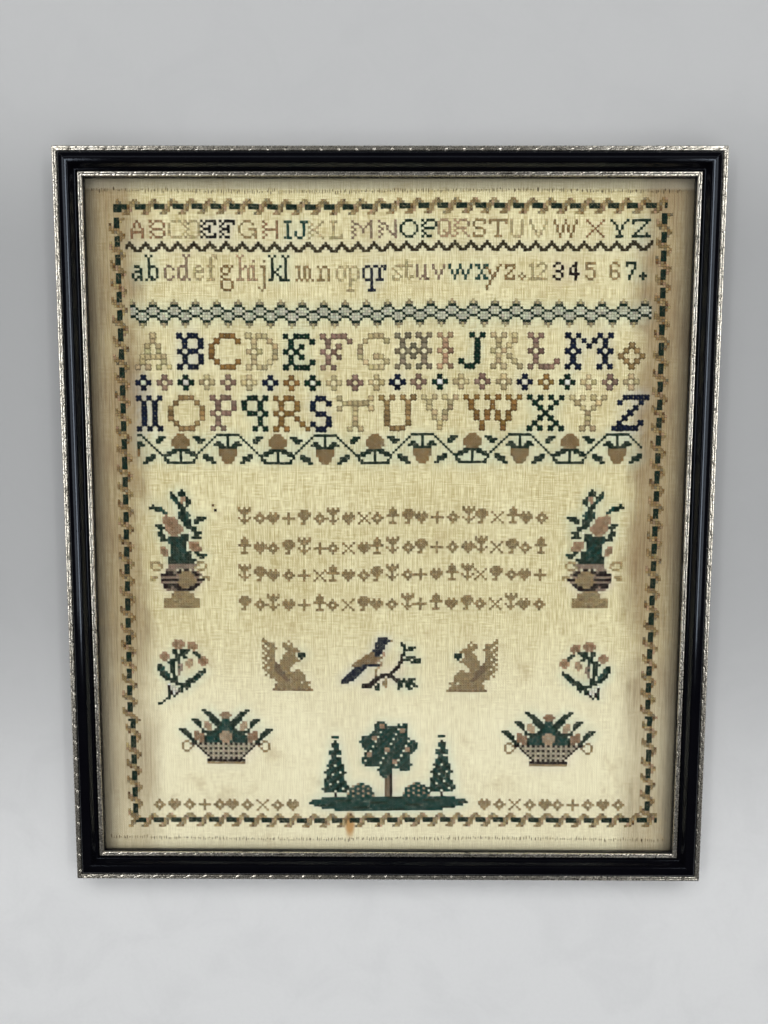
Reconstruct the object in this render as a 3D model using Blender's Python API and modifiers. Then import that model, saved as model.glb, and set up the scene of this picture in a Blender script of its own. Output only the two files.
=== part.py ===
# Framed cross stitch sampler, lying on its back.
# Metres, +Z up out of the picture, +Y towards the top of the sampler.
# The origin is the centre of the frame's back plane.

import math

import bmesh
import bpy
from mathutils import Matrix, Vector

MM = 0.001

# Overall size of the frame
FRAME_WIDTH = 380.0 * MM
FRAME_HEIGHT = 432.0 * MM

# Gap between neighbouring pieces
FIT_GAP = 0.3 * MM

# Moulding section: u runs inward from the outer side, z up from the back
RAIL_WIDTH = 16.0 * MM
RAIL_TOP = 19.0 * MM
SIDE_HEIGHT = 16.2 * MM
REBATE_WIDTH = 6.0 * MM
LEDGE_HEIGHT = 9.9 * MM

# Outer silvered edge: two fine ribs on a shallow slope
RIB_RADIUS = 0.5 * MM
RIB_CENTRES = ((1.05 * MM, 16.45 * MM), (2.10 * MM, 16.75 * MM))
QUIRK_START = (2.75 * MM, 16.45 * MM)
QUIRK_END = (3.10 * MM, 16.40 * MM)

# Black ridge, the scoop inside it and its fine step
RIDGE_APEX_U = 9.0 * MM
SCOOP_FOOT = (12.1 * MM, 14.7 * MM)
STEP_RUN = 0.3 * MM
STEP_DROP = 0.5 * MM

# Inner silvered bead
BEAD_RADIUS = 1.4 * MM
BEAD_CENTRE = (14.5 * MM, 12.9 * MM)

ARC_STEPS = 8
RIB_STEPS = 5

# Filling of the rebate, from the back
REBATE_CLEARANCE = 1.0 * MM
BOARD_BACK = 2.3 * MM
BOARD_THICKNESS = 3.0 * MM
GLASS_THICKNESS = 2.0 * MM
PANEL_BEVEL = 0.3 * MM

# Linen sheet stretched over the board, a little uneven
CLOTH_THICKNESS = 1.2 * MM
CLOTH_MARGIN = 2.0 * MM
CLOTH_WAVE = 0.25 * MM
CLOTH_COLUMNS = 22
CLOTH_ROWS = 25
PUCKER_LENGTH = 96.0 * MM
SAG_LENGTH = 150.0 * MM


def clear_scene():
    for item in list(bpy.data.objects):
        bpy.data.objects.remove(item, do_unlink=True)


def make_collection(name):
    collection = bpy.data.collections.new(name)
    bpy.context.scene.collection.children.link(collection)
    return collection


def make_material(name, colour, roughness, metallic=0.0, alpha=1.0):
    material = bpy.data.materials.new(name)
    material.use_nodes = True
    shader = material.node_tree.nodes["Principled BSDF"]
    shader.inputs["Base Color"].default_value = (*colour, 1.0)
    shader.inputs["Roughness"].default_value = roughness
    shader.inputs["Metallic"].default_value = metallic
    shader.inputs["Alpha"].default_value = alpha
    return material


def ellipse_points(centre, radii, start_deg, end_deg, steps):
    points = []
    for step in range(steps + 1):
        angle = math.radians(start_deg + (end_deg - start_deg) * step / steps)
        u = centre[0] + radii[0] * math.cos(angle)
        z = centre[1] + radii[1] * math.sin(angle)
        points.append((u, z))
    return points


def scoop_points():
    # Half a cosine wave, from the ridge's apex down to the scoop's foot
    run = SCOOP_FOOT[0] - RIDGE_APEX_U
    drop = RAIL_TOP - SCOOP_FOOT[1]
    points = []
    for step in range(1, ARC_STEPS + 1):
        share = step / ARC_STEPS
        u = RIDGE_APEX_U + run * share
        z = SCOOP_FOOT[1] + drop * (1.0 + math.cos(math.pi * share)) / 2.0
        points.append((u, z))
    return points


def moulding_outline():
    points = [(0.0, 0.0), (0.0, SIDE_HEIGHT)]
    for centre in RIB_CENTRES:
        radii = (RIB_RADIUS, RIB_RADIUS)
        points += ellipse_points(centre, radii, 170.0, 20.0, RIB_STEPS)
    points.append(QUIRK_START)
    ridge_centre = (RIDGE_APEX_U, QUIRK_END[1])
    ridge_radii = (RIDGE_APEX_U - QUIRK_END[0], RAIL_TOP - QUIRK_END[1])
    points += ellipse_points(ridge_centre, ridge_radii, 180.0, 90.0, ARC_STEPS)
    points += scoop_points()
    step_end = SCOOP_FOOT[0] + STEP_RUN
    cove_top = SCOOP_FOOT[1] - STEP_DROP
    points.append((step_end, SCOOP_FOOT[1]))
    bead_start = BEAD_CENTRE[0] - BEAD_RADIUS
    cove_centre = (bead_start, cove_top)
    cove_radii = (bead_start - step_end, cove_top - BEAD_CENTRE[1])
    points += ellipse_points(cove_centre, cove_radii, 180.0, 270.0, RIB_STEPS)
    bead_radii = (BEAD_RADIUS, BEAD_RADIUS)
    points += ellipse_points(BEAD_CENTRE, bead_radii, 170.0, 0.0, ARC_STEPS)
    points.append((RAIL_WIDTH, BEAD_CENTRE[1] - RIB_RADIUS))
    points.append((RAIL_WIDTH, LEDGE_HEIGHT))
    points.append((RAIL_WIDTH - REBATE_WIDTH, LEDGE_HEIGHT))
    points.append((RAIL_WIDTH - REBATE_WIDTH, 0.0))
    return points


def extruded_outline(name, points, length):
    curve = bpy.data.curves.new(name, "CURVE")
    curve.dimensions = "2D"
    curve.fill_mode = "BOTH"
    curve.extrude = length / 2.0
    spline = curve.splines.new("POLY")
    spline.points.add(len(points) - 1)
    for point, (u, z) in zip(spline.points, points):
        point.co = (u, z, 0.0, 1.0)
    spline.use_cyclic_u = True
    source = bpy.data.objects.new(name + "_outline", curve)
    bpy.context.scene.collection.objects.link(source)
    graph = bpy.context.evaluated_depsgraph_get()
    mesh = bpy.data.meshes.new_from_object(source.evaluated_get(graph))
    bpy.data.objects.remove(source, do_unlink=True)
    return mesh


def mitre_ends(mesh, length):
    # Each end leans back by its distance from the outer side, a 45 degree cut
    mesh_edit = bmesh.new()
    mesh_edit.from_mesh(mesh)
    bmesh.ops.remove_doubles(mesh_edit, verts=mesh_edit.verts, dist=0.01 * MM)
    joint_gap = FIT_GAP / math.sqrt(2.0)
    for vert in mesh_edit.verts:
        reach = length / 2.0 - vert.co.x - joint_gap
        vert.co.z = math.copysign(reach, vert.co.z)
    bmesh.ops.recalc_face_normals(mesh_edit, faces=mesh_edit.faces)
    mesh_edit.to_mesh(mesh)
    mesh_edit.free()


def build_rail(name, collection, material, length, offset, turn_deg):
    mesh = extruded_outline(name, moulding_outline(), length)
    mitre_ends(mesh, length)
    mesh.shade_smooth()
    mesh.set_sharp_from_angle(angle=math.radians(35.0))
    mesh.materials.append(material)
    rail = bpy.data.objects.new(name, mesh)
    collection.objects.link(rail)
    # Local X points inward, local Y up and local Z along the rail
    stand = Matrix(((0.0, 0.0, 1.0), (1.0, 0.0, 0.0), (0.0, 1.0, 0.0))).to_4x4()
    place = Matrix.Translation(Vector((0.0, -offset, 0.0)))
    turn = Matrix.Rotation(math.radians(turn_deg), 4, "Z")
    rail.matrix_world = turn @ place @ stand


def build_rails(collection, material):
    sides = (
        ("rail_bottom", FRAME_WIDTH, FRAME_HEIGHT / 2.0, 0.0),
        ("rail_right", FRAME_HEIGHT, FRAME_WIDTH / 2.0, 90.0),
        ("rail_top", FRAME_WIDTH, FRAME_HEIGHT / 2.0, 180.0),
        ("rail_left", FRAME_HEIGHT, FRAME_WIDTH / 2.0, 270.0),
    )
    for name, length, offset, turn_deg in sides:
        build_rail(name, collection, material, length, offset, turn_deg)


def panel_size(clearance):
    inset = RAIL_WIDTH - REBATE_WIDTH + clearance
    return FRAME_WIDTH - 2.0 * inset, FRAME_HEIGHT - 2.0 * inset


def build_panel(name, collection, material, low, thickness):
    width, height = panel_size(REBATE_CLEARANCE)
    mesh_edit = bmesh.new()
    bmesh.ops.create_cube(mesh_edit, size=1.0)
    bmesh.ops.scale(mesh_edit, vec=(width, height, thickness), verts=mesh_edit.verts)
    centre = Vector((0.0, 0.0, low + thickness / 2.0))
    bmesh.ops.translate(mesh_edit, vec=centre, verts=mesh_edit.verts)
    mesh = bpy.data.meshes.new(name)
    mesh_edit.to_mesh(mesh)
    mesh_edit.free()
    mesh.materials.append(material)
    panel = bpy.data.objects.new(name, mesh)
    collection.objects.link(panel)
    bevel = panel.modifiers.new("Arris", "BEVEL")
    bevel.width = PANEL_BEVEL
    bevel.segments = 1


def cloth_rise(x, y):
    # Slow waves left by stretching, crossed by a finer slanting pucker
    slow = math.sin(2.0 * math.pi * x / SAG_LENGTH)
    slow *= math.cos(2.0 * math.pi * y / SAG_LENGTH)
    pucker = math.sin(2.0 * math.pi * (x + 0.6 * y) / PUCKER_LENGTH)
    return CLOTH_WAVE * (0.6 * slow + 0.4 * pucker)


def build_cloth(collection, material):
    width, height = panel_size(CLOTH_MARGIN)
    board_top = BOARD_BACK + BOARD_THICKNESS
    middle = board_top + FIT_GAP + CLOTH_WAVE + CLOTH_THICKNESS / 2.0
    mesh_edit = bmesh.new()
    bmesh.ops.create_grid(mesh_edit, x_segments=CLOTH_COLUMNS, y_segments=CLOTH_ROWS, size=0.5)
    for vert in mesh_edit.verts:
        vert.co.x *= width
        vert.co.y *= height
        vert.co.z = middle + cloth_rise(vert.co.x, vert.co.y)
    mesh = bpy.data.meshes.new("sampler_cloth")
    mesh_edit.to_mesh(mesh)
    mesh_edit.free()
    mesh.shade_smooth()
    mesh.materials.append(material)
    cloth = bpy.data.objects.new("sampler_cloth", mesh)
    collection.objects.link(cloth)
    solidify = cloth.modifiers.new("Thickness", "SOLIDIFY")
    solidify.thickness = CLOTH_THICKNESS
    solidify.offset = 0.0


def main():
    clear_scene()
    collection = make_collection("framed_cross_stitch_sampler")
    lacquer = make_material("black_lacquer", (0.012, 0.011, 0.010), 0.28)
    linen = make_material("linen", (0.62, 0.55, 0.38), 0.9)
    pane = make_material("clear_glass", (0.9, 0.95, 0.93), 0.05, alpha=0.2)
    board = make_material("backing_wood", (0.34, 0.22, 0.12), 0.75)
    build_rails(collection, lacquer)
    build_panel("backing_board", collection, board, BOARD_BACK, BOARD_THICKNESS)
    build_cloth(collection, linen)
    glass_low = LEDGE_HEIGHT - FIT_GAP - GLASS_THICKNESS
    build_panel("glass", collection, pane, glass_low, GLASS_THICKNESS)


main()
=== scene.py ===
import math

import bmesh
import bpy
import numpy as np
from mathutils import Matrix, Vector, noise


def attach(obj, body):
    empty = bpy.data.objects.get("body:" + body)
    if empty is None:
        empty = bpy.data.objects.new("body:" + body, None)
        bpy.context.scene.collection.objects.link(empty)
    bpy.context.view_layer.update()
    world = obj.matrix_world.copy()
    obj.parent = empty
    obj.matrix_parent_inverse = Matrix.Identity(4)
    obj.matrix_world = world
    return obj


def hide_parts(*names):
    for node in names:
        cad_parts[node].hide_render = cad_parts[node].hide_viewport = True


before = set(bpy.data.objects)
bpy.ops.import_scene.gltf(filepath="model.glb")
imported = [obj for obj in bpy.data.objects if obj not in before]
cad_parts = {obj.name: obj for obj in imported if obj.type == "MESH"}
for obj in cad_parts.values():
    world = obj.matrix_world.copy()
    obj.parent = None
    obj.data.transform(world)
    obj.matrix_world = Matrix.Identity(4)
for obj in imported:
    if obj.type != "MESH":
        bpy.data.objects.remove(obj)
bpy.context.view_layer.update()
print("frame loaded, nodes:", len(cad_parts))

mm = 0.001
draws = np.random.default_rng(47)


# Colours are given as the eye reads them on a screen
def paint(red, green, blue):
    tones = []
    for value in (red, green, blue):
        share = value / 255.0
        tones.append(share / 12.92 if share <= 0.04045 else ((share + 0.055) / 1.055) ** 2.4)
    return (*tones, 1.0)


# Shader helpers: a socket given as an input is linked, any other value is set
def addNode(tree, kind, inputs=None, **settings):
    node = tree.nodes.new("ShaderNode" + kind)
    for key, value in settings.items():
        setattr(node, key, value)
    for socket, value in (inputs or {}).items():
        if isinstance(value, bpy.types.NodeSocket):
            tree.links.new(value, node.inputs[socket])
        else:
            node.inputs[socket].default_value = value
    return node


def sums(tree, operation, first, second=0.0, third=0.0, clamp=False):
    inputs = {0: first, 1: second, 2: third}
    return addNode(tree, "Math", inputs, operation=operation, use_clamp=clamp).outputs[0]


def times(tree, first, second):
    return sums(tree, "MULTIPLY", first, second)


def layered(tree, *layers):
    # A weighted sum
    total = 0.0
    for value, weight in layers:
        total = sums(tree, "MULTIPLY_ADD", value, weight, total)
    return total


def blendColour(tree, share, first, second, kind="MIX"):
    first, second = (paint(*tone) if isinstance(tone, tuple) else tone for tone in (first, second))
    inputs = {0: share, 6: first, 7: second}
    return addNode(tree, "Mix", inputs, data_type="RGBA", blend_type=kind).outputs[2]


def grain(tree, vector, stretch, detail=3.0, rough=0.55, warp=0.0):
    if not isinstance(stretch, tuple):
        stretch = (stretch, stretch, stretch)
    moved = addNode(tree, "Mapping", {"Vector": vector, "Scale": stretch}).outputs[0]
    settings = {"Vector": moved, "Scale": 1.0, "Detail": detail, "Roughness": rough, "Distortion": warp}
    return addNode(tree, "TexNoise", settings).outputs[0]


def between(tree, value, low, high, start=0.0, end=1.0):
    inputs = {"Value": value, 1: low, 2: high, 3: start, 4: end}
    return addNode(tree, "MapRange", inputs, interpolation_type="SMOOTHSTEP").outputs[0]


def newMaterial(name, **constants):
    material = bpy.data.materials.new(name)
    material.use_nodes = True
    tree = material.node_tree
    shader = tree.nodes["Principled BSDF"]
    for key, value in constants.items():
        shader.inputs[key.replace("_", " ")].default_value = value
    place = addNode(tree, "TexCoord").outputs["Object"]
    return material, tree, shader, place


def addBump(tree, shader, height, strength, distance):
    inputs = {"Height": height, "Strength": strength, "Distance": distance}
    bump = addNode(tree, "Bump", inputs)
    tree.links.new(bump.outputs[0], shader.inputs["Normal"])


def finishPiece(name, mesh, material, slotName, *stoodFor):
    piece = bpy.data.objects.new(name, mesh)
    bpy.context.scene.collection.objects.link(piece)
    mesh.materials.clear()
    mesh.materials.append(material)
    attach(piece, "root")
    if stoodFor:
        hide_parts(*stoodFor)
    return piece


# Camera: the photograph's angle, a little above the middle of the sampler
cameraSpec = {
    "place": (-0.0007, 0.0507, 0.4651),
    "turn": (-5.22, 0.26, 0.11),
    "lens": 27.07,
}
cameraData = bpy.data.cameras.new("camera")
cameraData.sensor_width = 36.0
cameraData.lens = cameraSpec["lens"]
cameraData.clip_start = 0.01
camera = bpy.data.objects.new("camera", cameraData)
camera.location = cameraSpec["place"]
camera.rotation_euler = [math.radians(angle) for angle in cameraSpec["turn"]]
bpy.context.scene.collection.objects.link(camera)
bpy.context.scene.camera = camera


# Moulding. Its section is given in mm: u runs inward from the outer side, z up from the back
frameSize = (380.0, 432.0)
mitreGap = 0.08
moulding = {
    "ridgeCentre": (9.0, 16.4),
    "ridgeReach": (5.9, 2.6),
    "scoopFoot": (12.1, 14.7),
    "stepRun": 0.3,
    "stepDrop": 0.5,
    "beadCentre": (14.5, 12.9),
    "beadRadius": 1.4,
    "width": 16.0,
    "ledge": 9.9,
    "rebate": 6.0,
    "arris": 0.35,
    "slices": 36,
}


def arcPoints(centre, reach, startDegrees, endDegrees, steps):
    points = []
    for step in range(steps + 1):
        angle = math.radians(startDegrees + (endDegrees - startDegrees) * step / steps)
        points.append((centre[0] + reach[0] * math.cos(angle), centre[1] + reach[1] * math.sin(angle)))
    return points


def bodyOutline():
    spec = moulding
    arris = spec["arris"]
    points = [(arris, 0.0), (0.0, arris), (0.0, 15.75), (2.75, 16.0), (2.8, 16.35)]
    ridge = spec["ridgeCentre"]
    points += arcPoints(ridge, spec["ridgeReach"], 178.0, 90.0, 22)
    footU, footZ = spec["scoopFoot"]
    for step in range(1, 17):
        share = step / 16.0
        fall = (1.0 + math.cos(math.pi * share)) / 2.0
        points.append((ridge[0] + (footU - ridge[0]) * share, footZ + (19.0 - footZ) * fall))
    stepEnd = footU + spec["stepRun"]
    coveTop = footZ - spec["stepDrop"]
    points += [(stepEnd - 0.05, footZ), (stepEnd, footZ - 0.06)]
    beadU, beadZ = spec["beadCentre"]
    beadStart = beadU - spec["beadRadius"]
    points += arcPoints((beadStart, coveTop), (beadStart - stepEnd, coveTop - beadZ), 180.0, 266.0, 8)
    points += [(13.1, 12.75), (15.85, 12.75), (15.9, 12.4), (16.0, 12.3)]
    ledge = spec["ledge"]
    inner = spec["width"]
    points += [(inner, ledge + arris), (inner - arris, ledge)]
    points += [(inner - spec["rebate"], ledge), (inner - spec["rebate"], arris)]
    points.append((inner - spec["rebate"] - arris, 0.0))
    return points


def sweepRail(outline, length, slices):
    # The section is drawn at the rail's left end, drawn out along it, then cut into slices
    bm = bmesh.new()
    section = bm.faces.new([bm.verts.new((-length / 2.0, u, z)) for u, z in outline])
    drawn = bmesh.ops.extrude_face_region(bm, geom=[section])["geom"]
    farEnd = [item for item in drawn if isinstance(item, bmesh.types.BMVert)]
    bmesh.ops.translate(bm, verts=farEnd, vec=(length, 0.0, 0.0))
    lengthwise = [edge for edge in bm.edges if edge.calc_length() > length / 2.0]
    bmesh.ops.subdivide_edges(bm, edges=lengthwise, cuts=slices - 1, use_grid_fill=True)
    return bm


def mitreAndPlace(bm, length, offset, turnDegrees):
    # Both ends lean back by their distance from the outer side
    half = length / 2.0
    for vert in bm.verts:
        vert.co.x *= (half - vert.co.y - mitreGap) / half
    bmesh.ops.recalc_face_normals(bm, faces=bm.faces)
    bmesh.ops.translate(bm, verts=bm.verts, vec=(0.0, -offset, 0.0))
    turn = Matrix.Rotation(math.radians(turnDegrees), 3, "Z")
    bmesh.ops.rotate(bm, verts=bm.verts, cent=(0.0, 0.0, 0.0), matrix=turn)
    bmesh.ops.scale(bm, verts=bm.verts, vec=(mm, mm, mm))


def meshFrom(bm, name, sharpDegrees=40.0):
    mesh = bpy.data.meshes.new(name)
    bm.to_mesh(mesh)
    bm.free()
    mesh.shade_smooth()
    mesh.set_sharp_from_angle(angle=math.radians(sharpDegrees))
    return mesh


# Silvered strips: two fine ribs outside, a grooved bead inside, both with slanting nicks
silverEdge = {
    "ribs": ((0.72, 16.76), (2.02, 17.06)),
    "ribReach": (0.64, 0.2),
    "pitch": 10.2,
    "nickWidth": 0.5,
    "nickDepth": 0.5,
    "nickSlant": 1.5,
    "innerFrom": 1.35,
    "outerShare": 0.25,
    "valley": (1.4, 0.18, 0.75),
    "shoulder": 16.3,
    "hammered": 0.05,
    "slice": 0.6,
}
silverBead = {
    "ridges": ((13.68, 13.98), (14.92, 13.98)),
    "ridgeReach": (0.6, 0.24),
    "valley": (14.31, 13.3),
    "innerSide": 15.52,
    "pitch": 10.2,
    "barWidth": 0.6,
    "barRise": 0.42,
    "barSlant": 1.4,
    "grooveWidth": 0.34,
    "dent": (1.2, 0.4, 0.18),
    "shoulder": 12.9,
    "hammered": 0.05,
    "slice": 0.6,
}


def edgeOutline():
    points = [(2.72, 15.95), (0.05, 15.7), (0.0, 16.1)]
    first, second = silverEdge["ribs"]
    points += arcPoints(first, silverEdge["ribReach"], 176.0, 14.0, 8)
    points += arcPoints(second, silverEdge["ribReach"], 166.0, 4.0, 8)
    return points[::-1]


def beadOutline():
    points = [(silverBead["innerSide"], 12.5), (13.12, 12.5), (13.05, 12.8)]
    first, second = silverBead["ridges"]
    points += arcPoints(first, silverBead["ridgeReach"], 176.0, 20.0, 7)
    points.append(silverBead["valley"])
    points += arcPoints(second, silverBead["ridgeReach"], 160.0, 4.0, 7)
    return points[::-1]


def nickEdge(bm):
    # The inner rib is nicked through, the outer one only touched
    spec = silverEdge
    middle, breadth, depth = spec["valley"]
    sunk = bm.verts.layers.float.new("sunk")
    for vert in bm.verts:
        along, u, z = vert.co
        across = (along - spec["nickSlant"] * u) % spec["pitch"] - spec["pitch"] / 2.0
        nick = math.exp(-(across / spec["nickWidth"]) ** 2)
        reach = 1.0 if u > spec["innerFrom"] else spec["outerShare"]
        high = z > spec["shoulder"]
        if high:
            vert.co.z -= spec["nickDepth"] * nick * reach
            vert.co.z += spec["hammered"] * noise.noise(Vector((along * 0.9, u * 2.0, 3.0)))
        valley = depth * math.exp(-((u - middle) / breadth) ** 2)
        vert[sunk] = min(1.0, valley + nick * reach * 0.35 + (0.0 if high else 0.8))


def carveBead(bm):
    # A slanting bar crosses the groove once in every repeat
    spec = silverBead
    sunk = bm.verts.layers.float.new("sunk")
    middle = spec["valley"][0]
    dentPlace, dentWidth, dentDepth = spec["dent"]
    for vert in bm.verts:
        along, u, z = vert.co
        across = (along - spec["barSlant"] * (u - middle)) % spec["pitch"] - spec["pitch"] / 2.0
        bar = math.exp(-(across / spec["barWidth"]) ** 2)
        valley = math.exp(-((u - middle) / spec["grooveWidth"]) ** 2)
        high = z > spec["shoulder"]
        if high:
            vert.co.z += spec["barRise"] * bar * valley
            beside = math.exp(-((abs(across) - dentPlace) / dentWidth) ** 2)
            vert.co.z -= dentDepth * beside * (1.0 - valley)
            vert.co.z += spec["hammered"] * noise.noise(Vector((along * 0.8, u * 2.0, 9.0)))
        vert[sunk] = min(1.0, valley * (1.0 - bar) + (0.0 if high else 0.9))


def lacquerMaterial():
    material, tree, shader, place = newMaterial("black lacquer")
    shader.inputs["Specular Tint"].default_value = (0.7, 0.82, 1.0, 1.0)
    speck = between(tree, grain(tree, place, 2600.0, 1.0), 0.70, 0.80)
    haze = grain(tree, place, 34.0, 4.0)
    black = blendColour(tree, haze, (4, 4, 8), (11, 11, 15))
    dusty = blendColour(tree, times(tree, speck, 0.06), black, (110, 104, 92))
    # The back is left as bare wood, with a ragged line where the lacquer ran over
    depth = addNode(tree, "SeparateXYZ", {0: place}).outputs[2]
    ragged = grain(tree, place, (240.0, 240.0, 60.0), 3.0)
    line = sums(tree, "MULTIPLY_ADD", ragged, 0.0022, -0.0004)
    bare = sums(tree, "LESS_THAN", depth, line)
    streak = grain(tree, place, (60.0, 60.0, 900.0), 6.0, 0.6, 0.4)
    wood = blendColour(tree, streak, (128, 96, 62), (186, 152, 108))
    colour = blendColour(tree, bare, dusty, wood)
    tree.links.new(colour, shader.inputs["Base Color"])
    polish = between(tree, haze, 0.25, 0.75, 0.08, 0.13)
    tree.links.new(sums(tree, "MULTIPLY_ADD", bare, 0.5, polish), shader.inputs["Roughness"])
    ripple = grain(tree, place, 420.0, 2.0)
    addBump(tree, shader, ripple, 0.08, 0.0002)
    return material


def silverMaterial():
    material, tree, shader, place = newMaterial("worn silver leaf")
    sunk = addNode(tree, "Attribute", attribute_name="sunk").outputs["Fac"]
    fine = grain(tree, place, 850.0, 4.0, 0.65)
    broad = grain(tree, place, 110.0, 4.0)
    worn = sums(tree, "MULTIPLY_ADD", sunk, 1.15, between(tree, fine, 0.565, 0.635))
    worn = sums(tree, "ADD", worn, between(tree, broad, 0.5, 0.75, -0.2, 0.45), clamp=True)
    silver = blendColour(tree, broad, (252, 250, 244), (228, 220, 200))
    colour = blendColour(tree, worn, silver, (14, 13, 12))
    tree.links.new(colour, shader.inputs["Base Color"])
    tree.links.new(between(tree, worn, 0.2, 0.9, 0.94, 0.3), shader.inputs["Metallic"])
    tree.links.new(between(tree, fine, 0.2, 0.8, 0.2, 0.36), shader.inputs["Roughness"])
    addBump(tree, shader, fine, 0.25, 0.0001)
    return material


lacquer = lacquerMaterial()
silver = silverMaterial()
rails = (
    ("bottom", frameSize[0], frameSize[1] / 2.0, 0.0),
    ("right", frameSize[1], frameSize[0] / 2.0, 90.0),
    ("top", frameSize[0], frameSize[1] / 2.0, 180.0),
    ("left", frameSize[1], frameSize[0] / 2.0, 270.0),
)
for side, length, offset, turnDegrees in rails:
    bm = sweepRail(bodyOutline(), length, moulding["slices"])
    mitreAndPlace(bm, length, offset, turnDegrees)
    mesh = meshFrom(bm, "moulding_" + side, 32.0)
    finishPiece("moulding_" + side, mesh, lacquer, "lacquer", "rail_" + side)
    for name, outline, shape, spec in (
        ("silver_edge_", edgeOutline, nickEdge, silverEdge),
        ("silver_bead_", beadOutline, carveBead, silverBead),
    ):
        bm = sweepRail(outline(), length, round(length / spec["slice"]))
        shape(bm)
        mitreAndPlace(bm, length, offset, turnDegrees)
        finishPiece(name + side, meshFrom(bm, name + side, 60.0), silver, "silvering")
print("moulding and silvered strips made")


# Linen. It lies on the board in the same slow waves as its solid
linen = {
    "size": (356.0, 408.0),
    "segments": (118, 136),
    "thickness": 0.9,
    "underside": 5.85,
    "wave": 0.25,
    "pucker": 96.0,
    "sag": 150.0,
    "hemTop": 196.5,
    "hemBottom": -197.0,
    "hemRise": 0.16,
}
linenTop = linen["underside"] + linen["thickness"]


def linenRise(x, y):
    slow = np.sin(2.0 * np.pi * x / linen["sag"]) * np.cos(2.0 * np.pi * y / linen["sag"])
    slant = np.sin(2.0 * np.pi * (x + 0.6 * y) / linen["pucker"])
    return linen["wave"] * (0.6 * slow + 0.4 * slant)


# Threads, one letter each, as the charts name them
threads = {
    "g": (14, 44, 34), "t": (26, 74, 68), "n": (18, 28, 50), "z": (58, 50, 32),
    "b": (156, 130, 88), "y": (180, 158, 112), "o": (140, 106, 58), "s": (176, 136, 108),
    "r": (150, 108, 76), "m": (144, 118, 104), "k": (30, 14, 18), "d": (106, 76, 48),
    "p": (186, 154, 124), "f": (196, 180, 138), "w": (246, 244, 228), "e": (136, 126, 104),
    "a": (12, 10, 16), "c": (142, 108, 62), "h": (186, 176, 152), "u": (216, 216, 198),
}

# Dark threads are thicker and cover more of the linen
darkThreads = "gtnzka"

# One thread of the border changes its shade from stitch to stitch
variegated = "bpybdebybpybcby"

stitch = {
    "pitch": (1.56, 1.50),
    "thread": 0.37,
    "height": 0.33,
    "dip": -0.08,
    "layer": 0.12,
    "cover": 0.97,
    "plain": (1.0, 0.8),
    "dark": (1.3, 0.8),
    "double": (2.7, 1.05),
    # Painted shade at the ends of each strand, where it sinks into the linen, and a painted highlight on its
    # raised middle
    "endShade": 0.5,
    "middleHighlight": 1.08,
    "jitter": 0.06,
    "turn": 0.05,
    "swell": 0.06,
    "fade": 0.17,
    "hueShift": 0.03,
    "sway": 0.5,
}

# Glyph tables: a mark, then its rows from the top, parted by strokes; x3 repeats a row
def glyphTable(text):
    words = text.split()
    return dict(zip(words[::2], words[1::2]))


def chartRows(chart):
    rows = []
    for row in chart.replace("/", "\n").split():
        marks, cross, count = row.partition("x")
        rows += [marks] * int(count or 1)
    return rows


# Capitals, seven stitches high
capitals = glyphTable("""
A ..#../.#.#.x2/#...#/#####/#...#x2  B ####./#...#x2/####./#...#x2/####.
C .####./#....#/#.....x3/#....#/.####.  D ####./#...#x5/####.  E #####/#...#/#.#../###../#.#../#...#/#####
F #####/#...#/#.#../###../#.#../#..../###..  G ..###../.#...#./#....../#...###/#.....#/.#...##/..###.#
H #...#x3/#####/#...#x3  I ###/.#.x5/###  J ..###/...#.x3/#..#.x2/.##..
K #...#/#..#./#.#../##.../#.#../#..#./#...#  L ###../.#...x4/.#..#/#####
M #.....#/##...##/#.#.#.#/#..#..#x2/#.....#x2  N #....#/##...#/#.#..#x2/#..#.#/#...##/#....#
O ..###../.#...#./#.....#x3/.#...#./..###..  P ####./#...#x2/####./#....x2/###..
Q .###../#...#.x3/#.#.#./#..##./.###.#  R ####./#...#x2/####./#.#../#..#./#...#
S .####/#...#/#..../.###./....#/#...#/####.  T #######/#..#..#/...#...x4/..###..  U #...#x6/.###.
V #.....#x2/.#...#.x2/..#.#..x2/...#...  W #...#...#x2/.#.#.#.#.x3/..#...#..x2
X #.....#/.#...#./..#.#../...#.../..#.#../.#...#./#.....#  Y #.....#/.#...#./..#.#..x2/...#...x2/..###..
Z #######/#....#./....#../...#.../..#..../.#...#./#######
""")

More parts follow.
